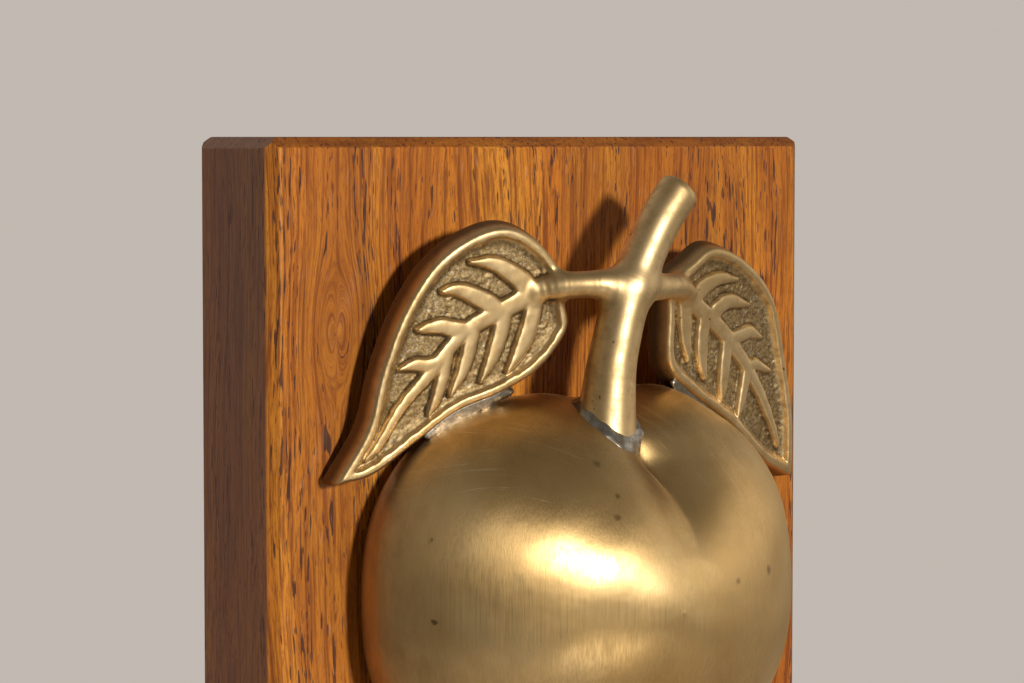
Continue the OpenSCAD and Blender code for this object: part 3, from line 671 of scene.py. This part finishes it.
def brass_brushed():
    m = Mat("brushed_cast_brass")
    patina_shade = m.attr("patina_and_shade")
    fine = m.noise(m.scale(11, 11, 0.16), 1.0, 2.0, 0.6)
    fine2 = m.noise(m.scale(5, 5, 0.07, m.vmath("ADD", m.P, (7, 3, 1))), 1.0, 3.0, 0.6)
    # older sanding arcs on the upper left lobe
    rel = m.vmath("SUBTRACT", m.P, (-19.0, 0.0, AX + 2.0))
    rad = m.vmath("LENGTH", m.vmath("MULTIPLY", rel, (1, 0, 1)))
    comb = m.t.nodes.new("ShaderNodeCombineXYZ")
    m.put(comb.inputs[0], m.math("MULTIPLY", rad, 4.2))
    sep = m.t.nodes.new("ShaderNodeSeparateXYZ"); m.put(sep.inputs[0], m.P)
    m.put(comb.inputs[1], m.math("MULTIPLY", sep.outputs[0], 0.12))
    m.put(comb.inputs[2], m.math("MULTIPLY", sep.outputs[2], 0.05))
    arcs = m.noise(comb.outputs[0], 1.0, 2.0, 0.5)
    where = m.math("MULTIPLY", m.ramp(sep.outputs[2], AX + 11, AX + 16), m.ramp(m.noise(m.scale(0.13, 0.13, 0.13), 1.0, 2.0, 0.5), 0.45, 0.6))
    scr = m.math("MULTIPLY", m.ramp(arcs, 0.60, 0.70), where)
    big = m.noise(m.scale(0.055, 0.055, 0.055), 1.0, 3.0, 0.55, 0.4)
    med = m.noise(m.scale(0.28, 0.28, 0.16), 1.0, 4.0, 0.6)
    gold = m.mix(m.ramp(big, 0.32, 0.68), (0.72, 0.475, 0.195), (0.84, 0.60, 0.285))
    gold = m.mix(m.ramp(fine2, 0.35, 0.7, 0.0, 0.35), gold, (0.50, 0.31, 0.115))
    # patina and painted shade from the mesh, with some random tone on top, mixed toward dark brown
    patina_shade_amount = m.math("ADD", m.math("MULTIPLY", patina_shade, 0.90), m.ramp(med, 0.34, 0.76, -0.04, 0.20), clamp=True)
    col = m.mix(patina_shade_amount, gold, (0.27, 0.150, 0.052))
    # small dark spots
    v = m.t.nodes.new("ShaderNodeTexVoronoi"); v.feature = "F1"
    m.put(v.inputs["Vector"], m.vmath("ADD", m.P, m.vmath("SCALE", m.noise(m.scale(1.2, 1.2, 1.2), 1.0, 1.0, 0.5, color=True), 0.9)))
    v.inputs["Scale"].default_value = 0.16
    sv = m.t.nodes.new("ShaderNodeSeparateColor"); m.put(sv.inputs[0], v.outputs["Color"])
    size = m.ramp(sv.outputs[0], 0.50, 1.0, 0.0, 0.085, smooth=False)
    spot = m.math("MULTIPLY", m.ramp(m.math("SUBTRACT", v.outputs["Distance"], size), -0.02, 0.02, 1.0, 0.0), 0.75)
    for sx, sd, sz, sr in ((-7.5, 19.8, 17.9, 0.55), (-3.8, 20.3, 17.7, 0.4), (-6.4, 22.4, 14.2, 0.35), (-7.3, 23.5, 11.7, 0.45), (0.7, 19.5, 18.7, 0.7),
                           (0.0, 26.3, -0.2, 0.5), (9.2, 25.1, 3.2, 0.45), (16.0, 22.7, 3.8, 0.6)):
        near = m.vmath("DISTANCE", m.vmath("ADD", m.P, m.vmath("SCALE", m.noise(m.scale(1.6, 1.6, 1.6), 1.0, 1.0, 0.5, color=True), 0.5)), (sx + 0.25, YF - sd + 0.25, AX + sz + 0.25))
        spot = m.math("MAXIMUM", spot, m.ramp(near, sr * 0.3, sr * 1.5, 0.55, 0.0))
    col = m.mix(spot, col, (0.085, 0.052, 0.024))
    col = m.mix(m.math("MULTIPLY", scr, 0.42), col, (0.86, 0.70, 0.45))
    h = m.math("ADD", m.math("MULTIPLY", fine, 0.55), m.math("MULTIPLY", fine2, 0.8))
    h = m.math("SUBTRACT", h, m.math("MULTIPLY", scr, 0.9))
    n1 = m.bump(m.noise(m.scale(0.22, 0.22, 0.22), 1.0, 2.0, 0.5), 0.25, 0.25)
    n2 = m.bump(h, 0.012, 0.75, n1)
    rough = m.math("ADD", m.ramp(fine2, 0.3, 0.7, 0.35, 0.43), m.math("MULTIPLY", patina_shade_amount, 0.16))
    m.set(Base_Color=col, Metallic=1.0, Roughness=rough, Normal=n2, Anisotropic=0.55)
    tan = m.t.nodes.new("ShaderNodeTangent"); tan.direction_type = "UV_MAP"; tan.uv_map = "brush"
    m.put(m.b.inputs["Tangent"], tan.outputs[0])
    return m.m


def brass_relief():
    m = Mat("relief_cast_brass")
    ground, crev, back = m.attr("ground"), m.attr("crev"), m.attr("back")
    big = m.noise(m.scale(0.10, 0.10, 0.10), 1.0, 3.0, 0.55)
    med = m.noise(m.scale(0.55, 0.55, 0.55), 1.0, 4.0, 0.65)
    grit = m.noise(m.scale(2.6, 2.6, 2.6), 1.0, 3.0, 0.7)
    gold = m.mix(m.ramp(big, 0.3, 0.7), (0.66, 0.455, 0.205), (0.78, 0.57, 0.30))
    gold = m.mix(m.ramp(med, 0.40, 0.75, 0.0, 0.60), gold, (0.36, 0.235, 0.10))
    # cast ground: olive, with silvery grains mostly beside the ribs
    sand = m.mix(m.ramp(grit, 0.40, 0.66), (0.28, 0.185, 0.078), (0.54, 0.39, 0.185))
    glit = m.math("MULTIPLY", m.ramp(m.noise(m.scale(3.4, 3.4, 3.4), 1.0, 2.0, 0.6), 0.56, 0.68), m.ramp(m.noise(m.scale(0.22, 0.22, 0.22), 1.0, 2.0, 0.5), 0.40, 0.58, 0.25, 0.85))
    sand = m.mix(glit, sand, (0.66, 0.60, 0.49))
    col = m.mix(ground, gold, sand)
    col = m.mix(m.math("MULTIPLY", crev, m.ramp(med, 0.3, 0.6, 0.50, 0.9)), col, (0.075, 0.048, 0.024))
    col = m.mix(m.math("MULTIPLY", back, 0.88), col, (0.11, 0.066, 0.030))
    pits = m.ramp(m.voro(m.vmath("ADD", m.P, m.vmath("SCALE", m.noise(m.scale(2, 2, 2), 1.0, 1.0, 0.5, color=True), 0.6)), 0.55), 0.05, 0.12, 1.0, 0.0)
    pits = m.math("MULTIPLY", pits, m.ramp(m.noise(m.scale(0.3, 0.3, 0.3), 1.0, 1.0, 0.5), 0.5, 0.6))
    col = m.mix(m.math("MULTIPLY", pits, 0.8), col, (0.05, 0.035, 0.02))
    rough = m.math("ADD", m.ramp(med, 0.3, 0.8, 0.42, 0.52), m.math("MULTIPLY", ground, 0.10), clamp=True)
    hgt = m.math("ADD", m.math("MULTIPLY", m.math("MULTIPLY", grit, ground), 1.0), m.math("MULTIPLY", m.noise(m.scale(5, 5, 1.2), 1.0, 2.0, 0.6), 0.12))
    n1 = m.bump(hgt, 0.08, 0.5)
    m.set(Base_Color=col, Metallic=1.0, Roughness=rough, Normal=n1)
    return m.m


def solder_mat():
    m = Mat("soft_solder_grey")
    med = m.noise(m.scale(0.8, 0.8, 0.8), 1.0, 4.0, 0.65)
    col = m.mix(m.ramp(med, 0.35, 0.68), (0.40, 0.375, 0.33), (0.20, 0.165, 0.12))
    col = m.mix(m.ramp(m.noise(m.scale(1.6, 1.6, 1.6), 1.0, 2.0, 0.5), 0.6, 0.72, 0, 0.7), col, (0.30, 0.21, 0.10))
    m.set(Base_Color=col, Metallic=1.0, Roughness=m.ramp(med, 0.3, 0.7, 0.26, 0.48),
          Normal=m.bump(m.noise(m.scale(1.8, 1.8, 1.8), 1.0, 2.0, 0.5), 0.06, 0.4))
    return m.m


def turned(name, base, dark, rough=0.28, metallic=1.0, axis_z=AX):
    """Turned or plain metal: fine rings about the handle axis, with a little tarnish."""
    m = Mat(name)
    rel = m.vmath("SUBTRACT", m.P, (0, 0, axis_z))
    rad = m.vmath("LENGTH", m.vmath("MULTIPLY", rel, (1, 0, 1)))
    sep = m.t.nodes.new("ShaderNodeSeparateXYZ"); m.put(sep.inputs[0], m.P)
    comb = m.t.nodes.new("ShaderNodeCombineXYZ")
    m.put(comb.inputs[0], m.math("MULTIPLY", rad, 9.0))
    m.put(comb.inputs[1], m.math("MULTIPLY", sep.outputs[1], 9.0))
    ring = m.noise(comb.outputs[0], 1.0, 2.0, 0.6)
    tar = m.noise(m.scale(0.5, 0.5, 0.5), 1.0, 4.0, 0.6)
    col = m.mix(m.ramp(tar, 0.45, 0.75, 0.0, 0.8), base, dark)
    m.set(Base_Color=col, Metallic=metallic, Roughness=m.ramp(m.math("ADD", m.math("MULTIPLY", ring, 0.4), m.math("MULTIPLY", tar, 0.6)), 0.3, 0.7, rough - 0.06, rough + 0.12),
          Normal=m.bump(ring, 0.01, 0.5))
    return m.m


def felt_mat():
    m = Mat("green_wool_felt")
    f1 = m.noise(m.scale(3.5, 3.5, 3.5), 1.0, 5.0, 0.75, 1.2)
    f2 = m.noise(m.scale(0.5, 0.5, 0.5), 1.0, 3.0, 0.6)
    col = m.mix(m.ramp(f1, 0.3, 0.7), (0.045, 0.10, 0.055), (0.11, 0.21, 0.12))
    col = m.mix(m.ramp(f2, 0.4, 0.7, 0.0, 0.4), col, (0.07, 0.14, 0.08))
    m.set(Base_Color=col, Roughness=0.95, Sheen_Weight=0.5, Sheen_Roughness=0.5, Normal=m.bump(f1, 0.25, 0.9))
    return m.m


def paper_mat(name, seed):
    m = Mat(name)
    P = m.vmath("ADD", m.P, (seed, seed * 2.0, 0))
    fib = m.noise(m.scale(2.2, 2.2, 2.2, P), 1.0, 5.0, 0.75, 1.5)
    cloud = m.noise(m.scale(0.16, 0.16, 0.16, P), 1.0, 4.0, 0.6)
    col = m.mix(m.ramp(cloud, 0.35, 0.7), (0.83, 0.80, 0.73), (0.75, 0.71, 0.63))
    col = m.mix(m.ramp(fib, 0.55, 0.8, 0.0, 0.35), col, (0.60, 0.56, 0.50))
    m.set(Base_Color=col, Roughness=0.92, Specular_IOR_Level=0.25, Normal=m.bump(fib, 0.06, 0.6))
    return m.m


def fibre_mat():
    m = Mat("dark_fibre")
    f = m.noise(m.scale(3, 3, 3), 1.0, 4.0, 0.7)
    m.set(Base_Color=m.mix(m.ramp(f, 0.3, 0.7), (0.030, 0.020, 0.014), (0.075, 0.050, 0.034)), Roughness=0.6, Normal=m.bump(f, 0.05, 0.5))
    return m.m


KNOT = (-31.0, YF, AX + 33.0)
M_BOARD = wood("varnished_hardwood", (0.86, 0.335, 0.034), (0.62, 0.190, 0.018), (0.22, 0.052, 0.009), (0.040, 0.014, 0.015), 0.22, 0.42, 0.0, KNOT)
M_ROCK = wood("oiled_hardwood", (0.42, 0.17, 0.055), (0.33, 0.12, 0.035), (0.21, 0.068, 0.020), (0.045, 0.018, 0.012), 0.0, 0.55, 3.0)
M_BRASS = brass_brushed()
M_RELIEF = brass_relief()
M_SOLDER = solder_mat()
M_TURNED = turned("turned_brass_metal", (0.68, 0.50, 0.25), (0.36, 0.24, 0.11))
M_STEEL = turned("zinc_steel", (0.58, 0.57, 0.54), (0.33, 0.30, 0.27), 0.34)
M_PLATE = turned("plate_steel", (0.50, 0.49, 0.47), (0.30, 0.25, 0.20), 0.42)
M_SPRING = turned("black_spring_steel", (0.07, 0.07, 0.08), (0.10, 0.07, 0.05), 0.38)
M_FELT = felt_mat()
M_FIBRE = fibre_mat()
M_PAPER_A = paper_mat("blotting_paper_inner", 3.0)
M_PAPER_B = paper_mat("blotting_paper_outer", 19.0)

peach = make_peach()
casting = make_casting()
solders = make_solder()


def paint(ob, mat):
    ob.data.materials.clear()
    ob.data.materials.append(mat)


paint(peach, M_BRASS)
paint(casting, M_RELIEF)
for s in solders:
    paint(s, M_SOLDER)
for node, mat in {
    "cover_board": M_BOARD, "rocker_block": M_ROCK, "cover_bush": M_TURNED, "guide_pins": M_TURNED,
    "guide_sleeves": M_TURNED, "thread_insert": M_TURNED, "handle_bridge": M_TURNED, "bridge_solder": M_SOLDER,
    "spindle": M_STEEL, "lock_washer": M_STEEL, "lock_nut": M_STEEL, "rear_washer": M_STEEL, "rocker_screws": M_STEEL, "rocker_plate": M_PLATE,
    "retaining_ring": M_SPRING, "thrust_washer": M_FIBRE, "sole_felt": M_FELT,
    "blotting_sheet_inner": M_PAPER_A, "blotting_sheet_outer": M_PAPER_B,
}.items():
    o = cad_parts[node]
    for i in range(len(o.material_slots)):
        o.material_slots[i].material = mat
    if not o.material_slots:
        o.data.materials.append(mat)

# ---------------------------------------------------------------- stage and light
n = 96
ring = [(math.cos(2 * math.pi * i / n), math.sin(2 * math.pi * i / n)) for i in range(n)]
vs, fs = [(0, 0, -0.02)], []
for r in (0.06, 0.13, 0.19, 0.26):
    vs += [(x * r * 1000, y * r * 1000, -0.02) for x, y in ring]
for i in range(n):
    fs.append((0, 1 + i, 1 + (i + 1) % n))
for k in range(3):
    for i in range(n):
        a, b = 1 + k * n, 1 + (k + 1) * n
        fs.append((a + i, b + i, b + (i + 1) % n, a + (i + 1) % n))
floor = new_mesh("floor", vs, fs)
fm = Mat("pale_floor")
fr = fm.vmath("LENGTH", fm.vmath("MULTIPLY", fm.P, (1, 1, 0)))
fcol = fm.mix(fm.ramp(fm.noise(fm.scale(0.01, 0.01, 0.01), 1.0, 3.0, 0.5), 0.3, 0.7), (0.64, 0.59, 0.54), (0.68, 0.63, 0.58))
fm.set(Base_Color=fcol, Roughness=0.7, Alpha=fm.ramp(fr, 150.0, 245.0, 1.0, 0.0))
paint(floor, fm.m)


def area(name, az, el, dist, size, power, color=(1, 1, 1), centre=(0, -0.02, 0.065)):
    li = bpy.data.lights.new(name, "AREA")
    li.shape = "RECTANGLE"
    li.size, li.size_y = size
    li.energy = power
    li.color = color
    o = bpy.data.objects.new(name, li)
    scene.collection.objects.link(o)
    a, e = math.radians(az), math.radians(el)
    d = Vector((math.sin(a) * math.cos(e), -math.cos(a) * math.cos(e), math.sin(e)))
    o.location = Vector(centre) + d * dist
    o.rotation_euler = d.to_track_quat("Z", "Y").to_euler()
    o.visible_camera = False
    return o


area("key", -1, 13.8, 1.0, (0.10, 0.10), 7.7, (1.0, 0.97, 0.92))
area("bounce_card", -3, -23, 0.11, (0.042, 0.018), 0.0070, (1.0, 0.95, 0.88), centre=(0.002, -0.026, 0.058))

world = bpy.data.worlds.new("studio")
scene.world = world
world.use_nodes = True
wt = world.node_tree
wt.nodes.clear()
wo = wt.nodes.new("ShaderNodeOutputWorld")
mixw = wt.nodes.new("ShaderNodeMixShader")
lp = wt.nodes.new("ShaderNodeLightPath")
b1 = wt.nodes.new("ShaderNodeBackground")
wtc = wt.nodes.new("ShaderNodeTexCoord")


def wmath(op, *vals):
    nd = wt.nodes.new("ShaderNodeMath"); nd.operation = op
    for k, v in enumerate(vals):
        if isinstance(v, bpy.types.NodeSocket):
            wt.links.new(v, nd.inputs[k])
        else:
            nd.inputs[k].default_value = v
    return nd.outputs[0]


# soft light by direction: azimuth (0 is in front), elevation, tightness, radiance
glow = None
for az, el, tight, rad in ((75, 14, 8.0, 0.95), (-80, 20, 6.0, 0.15), (-20, 75, 5.0, 0.14), (180, 25, 3.0, 0.42), (-130, 15, 4.0, 0.25)):
    a, e = math.radians(az), math.radians(el)
    dt = wt.nodes.new("ShaderNodeVectorMath"); dt.operation = "DOT_PRODUCT"
    wt.links.new(wtc.outputs["Generated"], dt.inputs[0])
    dt.inputs[1].default_value = (math.sin(a) * math.cos(e), -math.cos(a) * math.cos(e), math.sin(e))
    lobe = wmath("MULTIPLY", wmath("POWER", wmath("MAXIMUM", dt.outputs["Value"], 0.0), tight), rad)
    glow = lobe if glow is None else wmath("ADD", glow, lobe)
wt.links.new(wmath("ADD", glow, 0.022), b1.inputs[1])
b1.inputs[0].default_value = (1.0, 0.92, 0.82, 1)
b2 = wt.nodes.new("ShaderNodeBackground"); b2.inputs[0].default_value = (0.535, 0.487, 0.44, 1); b2.inputs[1].default_value = 1.0
wt.links.new(lp.outputs["Is Camera Ray"], mixw.inputs[0])
wt.links.new(b1.outputs[0], mixw.inputs[1])
wt.links.new(b2.outputs[0], mixw.inputs[2])
wt.links.new(mixw.outputs[0], wo.inputs[0])
scene.view_settings.view_transform = "Standard"
scene.view_settings.look = "None"
